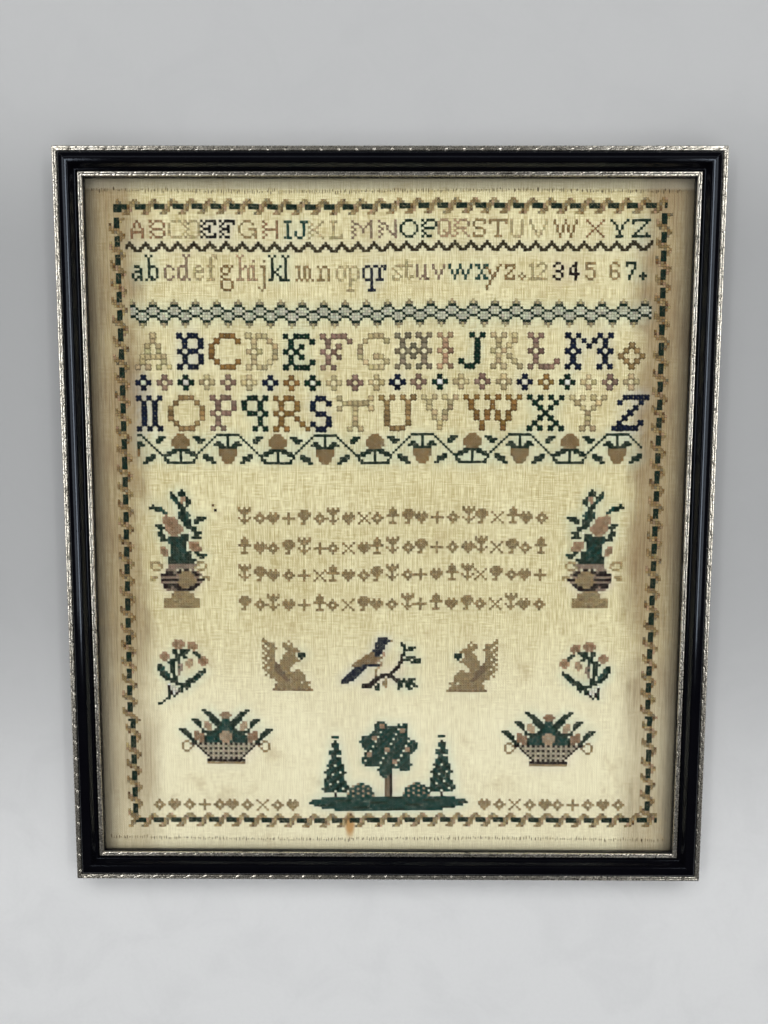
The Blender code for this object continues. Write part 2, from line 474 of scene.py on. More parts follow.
# Small letters and figures; a leading figure is how many rows hang below the line
smallLetters = glyphTable("""
a .##./...#/.###/#..#/#.##/.#.#  b #.#../.#...x3/.###./.#..#x3/.##.#/#.##.  c .##./#..#/#...x2/#..#/.##.
d ..#.#/...#.x3/.###./#..#.x3/#.##./.##.#  e .##./#..#/####/#.../#..#/.##.
f ..##/.#.#/.#..x2/###./.#..x4/###.  g 4.##.#/#..#.x2/.##../#..../.###./#...#x3/.###.
h #.#../.#...x3/.#.#./.##.#/.#..#x3/###.#  i .#./.../##./.#.x4/###  j 4..#/.../.##/..#x7/#.#/.#.
k #.#../.#...x3/.#..#/.#.#./.##../.#.#./.#..#/##..#  l #.#/.#.x8/###  m ##.##../.#.#.#.x4/#.#.#.#
n #.##./.#..#x4/###.#  o .##./#..#x4/.##.  p 4#.##./.#..#x4/.###./.#...x3/###..
q 4.##.#/#..#.x4/.###./...#.x3/..###  r #.##/.#.#/.#..x3/###.  s .###/#..#/.#../..#./#..#/###.
t .#..x2/####/.#..x3/.#.#/..#.  u #..#.x4/#.##./.#.##  v #...#x2/.#.#.x2/..#..x2
w #...#...#x2/.#.#.#.#.x2/..#...#..x2  x ##.##/.#.#./..#..x2/.#.#./##.##
y 4#....#/#...#./.#..#./.#.#../..##../..#.../.#....x2/#.....x2  z ####/#..#/..#./.#../#..#/####
1 .#./##./.#.x4/###  2 .##./#..#/...#/..#./.#../#.../####  3 .##./#..#/...#/.##./...#/#..#/.##.
4 ..#./.##./#.#.x2/####/..#.x2  5 ####/#.../###./...#x2/#..#/.##.  6 .##./#..#/#.../###./#..#x2/.##.
7 ####/#..#/...#/..#.x2/.#..x2  . .#./###/.#.  : .#./#.#/.#.
""")

# Large capitals: every stem is broken by serifs at its top, middle and foot
largeCapitals = glyphTable("""
A ...#...x2/..#.#..x2/.#####./.#...#./#.#.#.#  B #.##./.#..#x2/#.##./.#..#x2/#.##.
C ..###./.#...#/#.....x3/.#...#/..###.  D #.##../.#..#./.#...#/#.#..#/.#...#/.#..#./#.##..
E #.###./.#...#/.#.#../#.#.../.#.#../.#...#/#.###.  F #.###./.#...#/.#.#../#.#.../.#.#../.#..../#.#...
G ..###./.#...#/#.....x2/#..##./.#...#/..###.  H #.#.#.#/.#...#./.#.#.#./#.#.#.#/.#.#.#./.#...#./#.#.#.#
I #.#/.#.x2/#.#/.#.x2/#.#  J ..#.#/...#.x4/#..#./.##..  K #.#.#./.#..#./.#.#../#.#.../.#.#../.#..#./#.#..#
L #.#.../.#....x2/#.#.../.#..../.#...#/#.###.
M #.#...#.#/.#.#.#.#./.#..#..#./#.#...#.#/.#.....#.x2/#.#...#.#  N #.#.#/.#.#.x5/#.#.#
O ..###../.#...#./#.....#x3/.#...#./..###..  P #.##./.#..#x2/#.##./.#...x2/#.#..
Q .##.#/#..#.x2/.##.#/...#.x2/..#.#  R #.##.../.#..#..x2/#.##.../.#..#../.#...#./#.#...#
S .##./#..#/#.../.##./...#/#..#/.##.  T #.....#/.#####./#..#..#/...#...x3/..#.#..
U #.#.#.#/.#...#.x5/..###..  V #.#.#.#/.#...#.x2/..#.#..x2/...#...x2
W #.#.#.#.#.#/.#...#...#.x2/..#.#.#.#..x2/...#...#...x2
X #.#.#.#/.#...#./..#.#../...#.../..#.#../.#...#./#.#.#.#  Y #.#.#.#/.#...#./..#.#../...#...x3/..#.#..
Z ..#####/.#...#./....#../...#.../..#..../.#...#./#####..  * ..#../.#.#./#...#/.#.#./..#..
""")

# Little traditional shapes that fill the places of the words
fillers = glyphTable("""
h .#.#./#####x2/.###./..#..  d ..#../.###./##.##/.###./..#..  c ..#..x2/#####/..#..x2
t #.#.#/#####/.###./..#../#.#.#/.###./..#..  a .###./#####x2/.###./..#../.##..
s #...#/.#.#./..#../.#.#./#...#  l ..#../.###.x2/#####/..#..x2/.###.
""")

borderRepeat = """
v.....v
vv...vv
ggggvvv
ggggvv.
...vvv.
..vvv..
"""

honeycomb = """
....f...
...efe..
...ggg..
..guuug.
gguuuuug
uuguuugu
uuuggguu
uug...gu
gg.....g
fe.....e
f.......
"""

strawberryBand = """
....ooo............ggggggggg.........
...ooooo..ggg.....g....g....g.....ggg
..ooooooo..gggg..g.....g.....g...ggg.
..ooooooo...gg..g..gg..g..gg..g..gg..
..ooooooo......g..gggg.g.gggg..g.....
...ooooo......g.....ggggggg.....g....
..ggggggg....g......ooooooo......g...
gggg.g.gggg.g.......ooooooo.......g..
gg...g...ggg..gg....ooooooo....gg..gg
.....g.....g..gggg...ooooo...gggg...g
g....g....g....ggg...ooooo...ggg....g
ggggggggggg......gg...ooo...gg.......
"""

flowerPot = """
............g
........g..ggg
........gg.ggg
........tgg.ssg
.........tt.ssgg
..........tgs.gg
.g.........gg.g
ggggt......ggg
..ggtt......gg
.....tt....tggt
......s....tggtt
.....sssss.gggt...gggg
.....ssrsss.gtgg.gggg
.....srrrss..ggg.gg
..ggg.srrsrs.ggg
...gggssrrsss.gggg
....g.ssrsrss...gg
...gg..ssrrs...w.ggg
...ggg..sss.ggg..gg
....gg.tggggtgg.gggg
....gggtggtgtgg
.......ttggtgg.ssss
........ggttgg.srrs
....ss..gggttg.srrss
....srs.tggttt..ssss
....srs.ttggttgg.gg
.....ss.ggtttggg..gggt
.......ggttgttgg...gg
.......gggtggtgggg
yyyy...ggggtggggg.yyy
y..yy..mmmmmmmmmmmy..y
y...y..mmmmmmmmmmy...y
.yyy..mmmm.k.kk.m.yyy
......kkkmkkbbbbkkm
....kkkkkkmbbbbbbkkm
yyy.mmmmmmmbbbbbbmm.yyy
yy..kkkkkkkbbbbbbbkkk.y
....mmmmmmbbbbbbbbmm
.....kkkkkkbbbbbbkk
.....kkkmkkkbbbkkk
......mmmmkkkkkkk
.........bbbbbb
........bybbybybb
........bbybbybbb
.....ybbbybbbybbbyb
.....bbybbbybbbybbb
.....ybbbybbbybbbyb
.....bbbbbbbbbbbbbb
"""

flowerSprig = """
.......sss
......srrss.sss
......srsrs.srrs
.......sss..srrs
......gg.gggg.s
..ss..gg.ggg..gg
.srrs..gggg....gg
.srss..gg.gg....gss
..ss.gggg...pp..srrs
....ggg.g..ppp..srrs
gg...gg.mm.ppp...ss
ggt..gg.gm..p
gtt..gg.mm........g
.ggt.gg.m.......ggg
.ggtt.g.m......ggt
..ggt.gg......ggg
...ggggg....gggt
.....ggg...gggg
....w..gggggg
....kww..gggg
....kwwwgg.g
....gkwwkg
....gkwk
....g.g
...gg
..g
gg
"""

squirrel = """
b
bb........b
.bbbb...bb.b
b.bbb...bbbb
bb.bbb...bbbbb
.bbbb.....bbobb
b.bbb....bbbb.ggg
.bbbb...bbbbb.ggg
bb.bb...bbbbbb.g
.bbbb..bbbbbbbb
b.bbbd.bbbbbb
.bbbbddbbbbb
bb.bbddbbbb
.bbbbdddbbb..bb
..bbbbdddbbbbbbb
.b.bbbbddbbbbbbbb
...bbbbbddbbbbbbb
.....bbbbddbbbbbb
......bbbbbbbbb.bbb
.....bbbbbbbbbbbbb
.....bbbbbbbbbbbbbb
....dbdbdbdbdbdbdbdb
"""

birdOnBranch = """
..............nnnn
..............nnnnny
.............nnnnn.....g
.............nnnn......gg
.............nnnn.......g.ggg
............nnnn........gggg
...........oonnnp.......g
.........oooonn.p......kg
........oooooooo.......k.gggg
......oooooooop........kggg.ggg
.....oooooooop.p......kk...gggg
....oooonnnnnnnp......k
.....nnnnn....p......kk
....nnnnn....b......kk
...nnnnn.....b.....kk
..nnnnn......b.kkkkk
.nnnnn.......kkkk.kkk
nnnnn.......kkk..b..kkk.g.ggg
nnn........kkk..bb...kgggggg
........kkkkk.g.bb....gg.gggg
........kkkk.gg..b....gg.gg.gg
.............gg.......g...gg
"""

# The left half of a basket; the last column is its middle one
halfBasket = """
.........gg........
..........ggg....rr
...........ggg..rrr
............ggg..rr
.....ggg....gggg.tt
......ggg.pp.ggggtt
.......gg.ppp.gggtt
........g.ppp..gttt
ggg......g.pp.ggttt
.ggg..rr.ggggggttpp
..ggg.rrrr.ggttgppp
...gg.rrrrgttttgppp
....ggrrrrgtttgtppp
..bb.gg.rrgttttgtpp
.b..bkkhkhkhkhkhkhk
.b...b.khhhhhhhhhhh
.b..b...khkhkhkhkhk
..bb.....khhhhhhhhh
..........khkhkhkhk
...........khhhhhhh
............khkhkhk
...........kkkkkkkk
...........bbbbbbbb
"""

sewn = {}


def gridX(place):
    return round(place / stitch["pitch"][0])


def gridY(place):
    return round(place / stitch["pitch"][1])


def sewCell(piece, column, row, thread, size=1):
    sewn.setdefault(piece, {}).setdefault((column, row, size), thread)


def sewChart(piece, chart, left, bottom, size=1, flip=False, thread=None):
    rows = chartRows(chart)
    width = max(len(row) for row in rows)
    for down, row in enumerate(rows):
        for across, mark in enumerate(row):
            if mark == ".":
                continue
            if mark == "v":
                mark = variegated[(7 * down + 5 * across + 3 * left + 11 * bottom) % len(variegated)]
            column = width - 1 - across if flip else across
            height = len(rows) - 1 - down
            sewCell(piece, left + column * size, bottom + height * size, thread or mark, size)


def chequered(rows):
    # A fancy capital: its stem becomes two columns of alternate stitches
    if any(row[0] != "#" for row in rows):
        return rows
    return [("#." if down % 2 == 0 else ".#") + row[1:] for down, row in enumerate(rows)]


def sewLine(piece, text, glyphs, tints, span, base, size=1, fancy=False, centres=None):
    # The letters are spread evenly over the span, or stand at their own places
    charts = []
    for letter in text:
        glyph = glyphs[letter]
        drop = 0
        if glyph[0].isdigit():
            drop = int(glyph[0])
            glyph = glyph[1:]
        rows = chartRows(glyph)
        charts.append((chequered(rows) if fancy else rows, drop))
    widths = [max(len(row) for row in rows) for rows, drop in charts]
    left, right = gridX(span[0]) / size, gridX(span[1]) / size
    gap = (right - left - sum(widths)) / max(1, len(text) - 1)
    at = left
    for number, ((rows, drop), width, tint) in enumerate(zip(charts, widths, tints)):
        begin = round(at) * size
        if centres:
            begin = round(centres[number] / stitch["pitch"][0] - width / 2.0)
        sewChart(piece, "/".join(rows), begin, gridY(base) - drop * size, size, thread=tint)
        at += width + gap


# Border of green blocks and a twisted tan thread
def turned(chart):
    rows = chart.split()
    return "/".join("".join(row[column] for row in reversed(rows)) for column in range(len(rows[0])))


border = {
    "across": 29,
    "up": 34,
    "ends": ({"low": -125, "left": -99.7, "period": 7.1}, {"low": 121, "left": -101.0, "period": 7.0}),
    "sides": ({"left": -104, "low": -122.1}, {"left": 99, "low": -121.0}),
    "period": 7.13,
    "leanBelow": -80,
}
# Each repeat ends with the first stitch of the next, so that no gap shows between them
linked = "\n".join(row + row[0] for row in borderRepeat.split())
sewChart("stitched_border", "gggg/gggg/ggg.", -102, 122)
sewChart("stitched_border", "..vv/.vv./.vv./vv..", -103, -125)
for end in border["ends"]:
    for repeat in range(border["across"]):
        left = round(end["left"] + end["period"] * repeat)
        sewChart("stitched_border", linked, left, end["low"])
for side in border["sides"]:
    for repeat in range(border["up"]):
        low = round(side["low"] + border["period"] * repeat)
        lean = 1 if low < border["leanBelow"] else 0
        sewChart("stitched_border", turned(linked), side["left"] + lean, low - 1)

# Small capitals, zigzag, small letters and chain
smallCapTints = "rrffaabrttffmmggppbbffcrgg"
smallCapCentres = (
    -145.9, -134.6, -123.3, -113.2, -104.4, -94.2, -81.4, -68.8, -58.6, -50.7, -41.9, -30.6, -16.1,
    -1.5, 12.2, 24, 33.2, 42.6, 52.7, 63.1, 74.3, 85.9, 102.5, 119.2, 132.8, 145.4,
)
sewLine(
    "small_alphabets", "ABCDEFGHIJKLMNOPQRSTUVWXYZ", capitals, smallCapTints, (-150, 152), 167.5,
    fancy=True, centres=smallCapCentres,
)
zigzag = {"low": gridY(160), "heights": (0, 1, 2, 3, 2, 1), "stretch": 6.05, "peak": gridX(-142.5)}
for column in range(gridX(-153), gridX(153)):
    phase = round((column - zigzag["peak"]) * 6.0 / zigzag["stretch"] + 3.0) % 6
    height = zigzag["heights"][phase]
    sewCell("small_alphabets", column, zigzag["low"] + height, "z")
    sewCell("small_alphabets", column, zigzag["low"] + max(0, height - 1), "z")
letterRow = "abcdefghijklmnopqrstuvwxyz:1234567."
letterTints = "ggmmffcppbggbbffnnffmmttccbffkkbbgg"
letterCentres = (
    -146.3, -137.6, -127.5, -119.5, -111, -103.6, -94.6, -84.8, -78.5, -74.4, -65.8, -59.6, -49.6,
    -37.8, -28.8, -20.4, -11.4, -4, 4.5, 10.8, 20, 29.1, 41.4, 53.6, 61.4, 70.6, 76.7,
    82.8, 89, 98, 107.1, 116.8, 131, 141, 148,
)
sewLine(
    "small_alphabets", letterRow, smallLetters, letterTints, (-150, 150), 143.3,
    centres=letterCentres,
)
wholeChain = "\n".join((row * 26)[4:199] for row in honeycomb.split())
sewChart("stitched_chain", wholeChain, gridX(-152), gridY(117))

# Large capitals with a row of little crosses between them
sewLine("large_alphabets", "ABCDEFGHIJKLM*", largeCapitals, "fncfgmfepgfmnb", (-150, 150), 92.5, 2)
sewLine("large_alphabets", "NOPQRSTUVWXYZ", largeCapitals, "nbmgcnfbfcgfn", (-149.5, 151), 57.0, 2)
quatrefoils = {"count": 24, "step": 8, "tints": "nmgfmfncgfmf"}
for repeat in range(quatrefoils["count"]):
    left = gridX(-149) + quatrefoils["step"] * repeat
    tint = quatrefoils["tints"][repeat % 12]
    sewChart("large_alphabets", ".#./#.#/.#.", left, gridY(80.5), 2, thread=tint)
    if tint in darkThreads:
        sewCell("large_alphabets", left + 2, gridY(80.5) + 2, "w", 2)

# Strawberries on a winding stem
wholeBand = "\n".join((row.ljust(37, ".") * 6)[26:218] for row in strawberryBand.split())
sewChart("strawberry_band", wholeBand, gridX(-150), gridY(37.5))

# Flower pots, sprigs, squirrels, bird and baskets
shortSprig = "\n".join(flowerSprig.split()[:24])
wholeBasket = "\n".join(row + row[-2::-1] for row in halfBasket.split())
for piece, chart, left, bottom, flip in (
    ("flower_pots", flowerPot, -143.5, -49, False),
    ("flower_pots", flowerPot, 105, -50, True),
    ("sprigs_and_animals", flowerSprig, -141, -109, False),
    ("sprigs_and_animals", shortSprig, 105, -106, True),
    ("sprigs_and_animals", squirrel, -77, -101, False),
    ("sprigs_and_animals", squirrel, 36, -102, True),
    ("sprigs_and_animals", birdOnBranch, -28, -101, False),
    ("flower_baskets", wholeBasket, -127.5, -147.5, False),
    ("flower_baskets", wholeBasket, 70.5, -149, False),
):
    sewChart(piece, chart, gridX(left), gridY(bottom), flip=flip)

# Lines of small shapes where the words were, in the same tan thread
fillerLines = (
    (0.8, "tdhcadthsdlahcdtaslhd"),
    (-16.8, "lhdatcdshltdacdhtsadl"),
    (-33.5, "tahdcslhdatdchltsadhc"),
    (-50.5, "adthcldsahdtclhadsthd"),
)
for base, text in fillerLines:
    sewLine("filler_lines", text, fillers, "b" * len(text), (-90, 95), base)
sewLine("filler_lines", "dhdcdhdsdh", fillers, "b" * 10, (-145, -54), -176.5)
sewLine("filler_lines", "hdsdhdcdhd", fillers, "b" * 10, (56, 146), -176.5)

# Two dark flecks beside the left flower pot
sewCell("filler_lines", gridX(-104.5), gridY(9.6), "k")
sewCell("filler_lines", gridX(-106.5), gridY(11.4), "d")

# A garden on a green mound: fruit tree, two cypresses and flowering bushes
garden = {
    "low": gridY(-177),
    "mound": (21, 26, 29, 31, 30, 26),
    "crown": (26, 11.5),
    "fruit": ((-6, 30), (5, 33), (-1, 25), (7, 25), (-8, 23), (2, 20), (-3, 35)),
    "cypress": (21, 24),
    "bush": (11, 5.2),
}


def plantGarden():
    piece = "garden_mound"
    low = garden["low"]
    for row, reach in enumerate(garden["mound"]):
        for column in range(-reach, reach + 1):
            sewCell(piece, column, low + row, "t" if (2 * row + column // 7) % 5 else "g")
    ground = low + len(garden["mound"])
    for x, y in garden["fruit"]:
        for column, row in ((0, 0), (1, 0), (0, 1), (1, 1)):
            sewCell(piece, x + column, low + y + row, "s")
    centre, radius = garden["crown"]
    for row in range(-14, 15):
        for column in range(-14, 15):
            lobe = radius + 1.5 * math.sin(7.0 * math.atan2(row, column) + 0.9)
            if math.hypot(column, row * 0.96) < lobe - 1.0 and (3 * column + 5 * row) % 13:
                shade = "g" if (column * 2 + row * 3) % 5 < 2 else "t"
                sewCell(piece, column, low + centre + row, shade)
    for row in range(ground, low + centre - 8):
        for column in (-1, 0, 1):
            sewCell(piece, column, row, "k" if column == 1 else "d")
    reach, height = garden["cypress"]
    for side in (-1, 1):
        for row in range(height):
            half = (height - row) / 5.0 + 0.4 * (row % 3)
            for column in range(-5, 6):
                if abs(column) <= half and (3 * column + 2 * row) % 11:
                    shade = "g" if (column * side + row) % 4 < 2 else "t"
                    sewCell(piece, side * reach + column, ground + 2 + row, shade)
        for row in (0, 1):
            sewCell(piece, side * reach, ground + row, "k")
        centre, radius = garden["bush"]
        for row in range(0, 6):
            for column in range(-6, 7):
                if math.hypot(column, row) < radius:
                    shade = "p" if (column + 2 * row) % 4 == 1 else "t"
                    sewCell(piece, side * centre + column, ground + row, shade)


plantGarden()
print("charts laid out, stitches:", sum(len(cells) for cells in sewn.values()))


# One strand of a cross: a three-sided bar, cut twice, arched and tucked in at both ends
def strandTemplate(reach, turnRadians, layer, breadth=1.0, endShare=0.8):
    bm = bmesh.new()
    bmesh.ops.create_cone(bm, cap_ends=True, cap_tris=True, segments=3, radius1=1.0, radius2=1.0, depth=2.0)
    lay = Matrix.Rotation(math.radians(90.0), 3, "Y")
    bmesh.ops.rotate(bm, verts=bm.verts, cent=(0.0, 0.0, 0.0), matrix=lay)
    ridgeUp = Matrix.Rotation(math.radians(90.0), 3, "X")
    bmesh.ops.rotate(bm, verts=bm.verts, cent=(0.0, 0.0, 0.0), matrix=ridgeUp)
    for cut in (-0.4, 0.4):
        everything = bm.verts[:] + bm.edges[:] + bm.faces[:]
        bmesh.ops.bisect_plane(bm, geom=everything, plane_co=(cut, 0.0, 0.0), plane_no=(1.0, 0.0, 0.0))
    plies = []
    for vert in bm.verts:
        along, across, up = vert.co
        plies.append((along, across))
        end = abs(along) > 0.9
        width = stitch["thread"] * breadth * (endShare if end else 1.1)
        top = stitch["height"] * (0.62 if end else 1.0)
        vert.co.x = along * reach
        vert.co.y = across * width
        vert.co.z = (up + 0.5) / 1.5 * top + (stitch["dip"] if end else layer)
    spin = Matrix.Rotation(turnRadians, 3, "Z")
    bmesh.ops.rotate(bm, verts=bm.verts, cent=(0.0, 0.0, 0.0), matrix=spin)
    bmesh.ops.triangulate(bm, faces=bm.faces)
    bmesh.ops.recalc_face_normals(bm, faces=bm.faces)
    bm.verts.index_update()
    points = np.array([vert.co[:] for vert in bm.verts])
    corners = np.array([[vert.index for vert in face.verts] for face in bm.faces])
    bm.free()
    return points, corners, np.array(plies)


def crossTemplate(size, dark):
    width, height = (pitch * size for pitch in stitch["pitch"])
    reach = math.hypot(width, height) / 2.0 * stitch["cover"]
    slope = math.atan2(height, width)
    kind = "double" if size == 2 else "dark" if dark else "plain"
    breadth, endShare = stitch[kind]
    under = strandTemplate(reach, slope, 0.0, breadth, endShare)
    over = strandTemplate(reach, -slope, stitch["layer"], breadth, endShare)
    points = np.vstack([under[0], over[0]])
    corners = np.vstack([under[1], over[1] + len(under[0])])
    plies = np.vstack([under[2], over[2]])
    # Painted shade at the strand ends and a painted highlight in the middle, given per point
    paintedShading = np.where(np.abs(plies[:, 0]) > 0.9, stitch["endShade"], stitch["middleHighlight"])
    plies[:, 0] *= size
    return points, corners, plies, paintedShading


def drift(x, y):
    # The linen isn't quite square, so rows of stitches wander a little
    sway = stitch["sway"]
    return sway * np.sin(y / 57.0 + 0.6), sway * np.sin(x / 71.0) + 0.3 * np.sin(x / 23.0)


def threadMaterial():
    material, tree, shader, place = newMaterial("faded thread", Roughness=0.9, Sheen_Weight=0.08)
    shader.inputs["Specular IOR Level"].default_value = 0.1
    dyed = addNode(tree, "Attribute", attribute_name="threadColour").outputs["Color"]
    ply = addNode(tree, "UVMap", uv_map="ply").outputs[0]
    wave = {"Vector": ply, "Scale": 2.3, "Distortion": 0.6, "Detail": 1.0}
    twist = addNode(tree, "TexWave", wave, bands_direction="DIAGONAL").outputs["Fac"]
    fuzz = grain(tree, place, 2600.0, 2.0)
    # Painted light and shade: the colour is lighter on the crests of the twisted plies and darker between
    # them, with a random fuzz on top
    shade = sums(tree, "MULTIPLY_ADD", twist, 0.34, 0.80)
    shade = times(tree, shade, between(tree, fuzz, 0.2, 0.8, 0.86, 1.12))
    grey = addNode(tree, "CombineColor", {0: shade, 1: shade, 2: shade}).outputs[0]
    colour = blendColour(tree, 1.0, dyed, grey, "MULTIPLY")
    tree.links.new(colour, shader.inputs["Base Color"])
    addBump(tree, shader, twist, 0.5, 0.0001)
    return material


def stitchPiece(name, points, corners, tones, maps):
    mesh = bpy.data.meshes.new(name)
    mesh.from_pydata((points * mm).tolist(), [], corners.tolist())
    mesh.update()
    shown = mesh.color_attributes.new("threadColour", "FLOAT_COLOR", "POINT")
    tones = np.hstack([tones, np.ones((len(tones), 1))])
    shown.data.foreach_set("color", tones.astype(np.float32).ravel())
    for title, spread in maps.items():
        chart = mesh.uv_layers.new(name=title)
        chart.data.foreach_set("uv", spread[corners.ravel()].astype(np.float32).ravel())
    mesh.shade_smooth()
    return finishPiece(name, mesh, thread, "thread")


def joinStitches(name, cells):
    # Every cross is a copy of the template; the copies are laid down as one mesh
    pitchX, pitchY = stitch["pitch"]
    points, corners, tones, plies = [], [], [], []
    start = 0
    for size, dark in ((1, False), (1, True), (2, False), (2, True)):
        chosen = [
            (column, row, mark) for (column, row, big), mark in cells.items()
            if big == size and (mark in darkThreads) == dark
        ]
        if not chosen:
            continue
        count = len(chosen)
        shape, faces, ply, paintedShading = crossTemplate(size, dark)
        x = np.array([column + size / 2.0 for column, row, mark in chosen]) * pitchX
        y = np.array([row + size / 2.0 for column, row, mark in chosen]) * pitchY
        offX, offY = drift(x, y)
        x = x + offX + draws.normal(0.0, stitch["jitter"], count)
        y = y + offY + draws.normal(0.0, stitch["jitter"], count)
        turn = draws.normal(0.0, stitch["turn"], count)
        swell = draws.normal(1.0, stitch["swell"], count)
        base = linenTop + 0.04 + linenRise(x, y)
        cos, sin = np.cos(turn) * swell, np.sin(turn) * swell
        placed = np.empty((count, len(shape), 3))
        placed[:, :, 0] = x[:, None] + cos[:, None] * shape[None, :, 0] - sin[:, None] * shape[None, :, 1]
        placed[:, :, 1] = y[:, None] + sin[:, None] * shape[None, :, 0] + cos[:, None] * shape[None, :, 1]
        placed[:, :, 2] = base[:, None] + shape[None, :, 2]
        dyes = np.array([paint(*threads[mark])[:3] for column, row, mark in chosen])
        fade = draws.normal(1.0, stitch["fade"], (count, 1))
        fade = fade * draws.normal(1.0, stitch["hueShift"], (count, 3))
        dyes = np.clip(dyes * fade, 0.0, 1.0)
        points.append(placed.reshape(-1, 3))
        corners.append((faces[None] + start + np.arange(count)[:, None, None] * len(shape)).reshape(-1, 3))
        # The dye colour carries the painted shade and highlight of each strand
        tones.append((dyes[:, None] * paintedShading[None, :, None]).reshape(-1, 3))
        plies.append(np.tile(ply, (count, 1)))
        start += count * len(shape)
    # A map along each strand carries the twist of its plies, and one from above serves the bake
    points = np.vstack(points)
    flat = points[:, :2] - points[:, :2].min(axis=0)
    maps = {"ply": np.vstack(plies), "OFBake": flat / flat.max(axis=0)}
    return stitchPiece(name, points, np.vstack(corners), np.vstack(tones), maps)


thread = threadMaterial()
stitched = [joinStitches(name, cells) for name, cells in sewn.items()]
print("stitches sewn:", sum(len(piece.data.polygons) for piece in stitched), "triangles")


# Hem stitches: a row of short uneven upright stitches near the top and bottom edges
hemStitch = {"lines": (194.6, -195.0), "reach": 0.95, "step": 1.5, "span": 172.0}
hemTones = ((150, 134, 104), (118, 100, 74), (168, 156, 128), (92, 78, 58))


def sewHem():
    shape, faces, ply = strandTemplate(hemStitch["reach"], math.radians(90.0), 0.0, 0.62)
    points, corners, tones = [], [], []
    start = 0
    for line in hemStitch["lines"]:
        x = np.arange(-hemStitch["span"], hemStitch["span"], hemStitch["step"])
        count = len(x)
        x = x + draws.normal(0.0, 0.35, count)
        y = line + 0.6 * np.sin(x / 41.0) + draws.normal(0.0, 0.35, count)
        offset = np.stack([x, y, linenTop + linen["hemRise"] * 0.5 + linenRise(x, y)], axis=1)
        stretch = np.ones((count, 1, 3))
        stretch[:, 0, 1] = draws.uniform(0.4, 1.3, count)
        points.append((offset[:, None] + shape[None] * stretch).reshape(-1, 3))
        steps = np.arange(count)[:, None, None] * len(shape)
        corners.append((faces[None] + start + steps).reshape(-1, 3))
        picked = draws.integers(0, len(hemTones), count)
        tones.append(np.repeat(np.array([paint(*hemTones[pick])[:3] for pick in picked]), len(shape), axis=0))
        start += count * len(shape)
    points = np.vstack(points)
    return stitchPiece("hem_stitches", points, np.vstack(corners), np.vstack(tones), {"ply": points[:, :2]})


hem = sewHem()


# Beside dark stitches the linen looks paler and takes a breath of their colour
dyeSpread = {
    "depth": {1: 0.9, 2: 3.0},
    "hueShare": 0.14,
    "pale": (0.82, 0.84, 0.82),
    "full": 1.3,
    "strength": 0.46,
    "sweeps": 2,
}


def dyeTint():
    columns, rows = linen["segments"]
    width, height = linen["size"]
    load = np.zeros((columns + 1, rows + 1, 4))
    hueShare = dyeSpread["hueShare"]
    for piece, cells in sewn.items():
        if piece == "stitched_border":
            continue
        for (column, row, size), mark in cells.items():
            dye = np.array(threads[mark]) / 255.0
            depth = dyeSpread["depth"][size] * max(0.0, 1.0 - 1.5 * dye.mean())
            i = round(((column + size / 2.0) * stitch["pitch"][0] / width + 0.5) * columns)
            j = round(((row + size / 2.0) * stitch["pitch"][1] / height + 0.5) * rows)
            load[i, j, :3] += depth * (1.0 - hueShare + hueShare * dye / dye.max())
            load[i, j, 3] += depth
    for sweep in range(dyeSpread["sweeps"]):
        spread = load.copy()
        spread[1:] += load[:-1]
        spread[:-1] += load[1:]
        spread[:, 1:] += load[:, :-1]
        spread[:, :-1] += load[:, 1:]
        load = spread / 5.0
    weight = load[..., 3:4]
    hue = np.where(weight > 0.001, load[..., :3] / np.maximum(weight, 0.001), 1.0)
    pale = np.array(dyeSpread["pale"])
    share = dyeSpread["strength"] * np.clip(weight / dyeSpread["full"], 0.0, 1.0)
    return np.concatenate([(pale * hue) ** 2.2, share], axis=2)


linenTone = {
    "shade": (192, 176, 126),
    "light": (252, 246, 208),
    "gap": (158, 138, 94),
    # Colour of the painted light towards the foot of the linen
    "foot": (250, 244, 220),
    "brown": (146, 123, 93),
    "streak": (108, 88, 62),
    # Colour of the painted shadow of the rails on the linen
    "edge": (100, 94, 84),
    "hem": (200, 194, 176),
    "rust": (184, 132, 66),
    "blotch": (176, 152, 108),
    "stripe": 1.36,
    "rustPlace": (-0.0235, -0.1855, 0.0068),
}


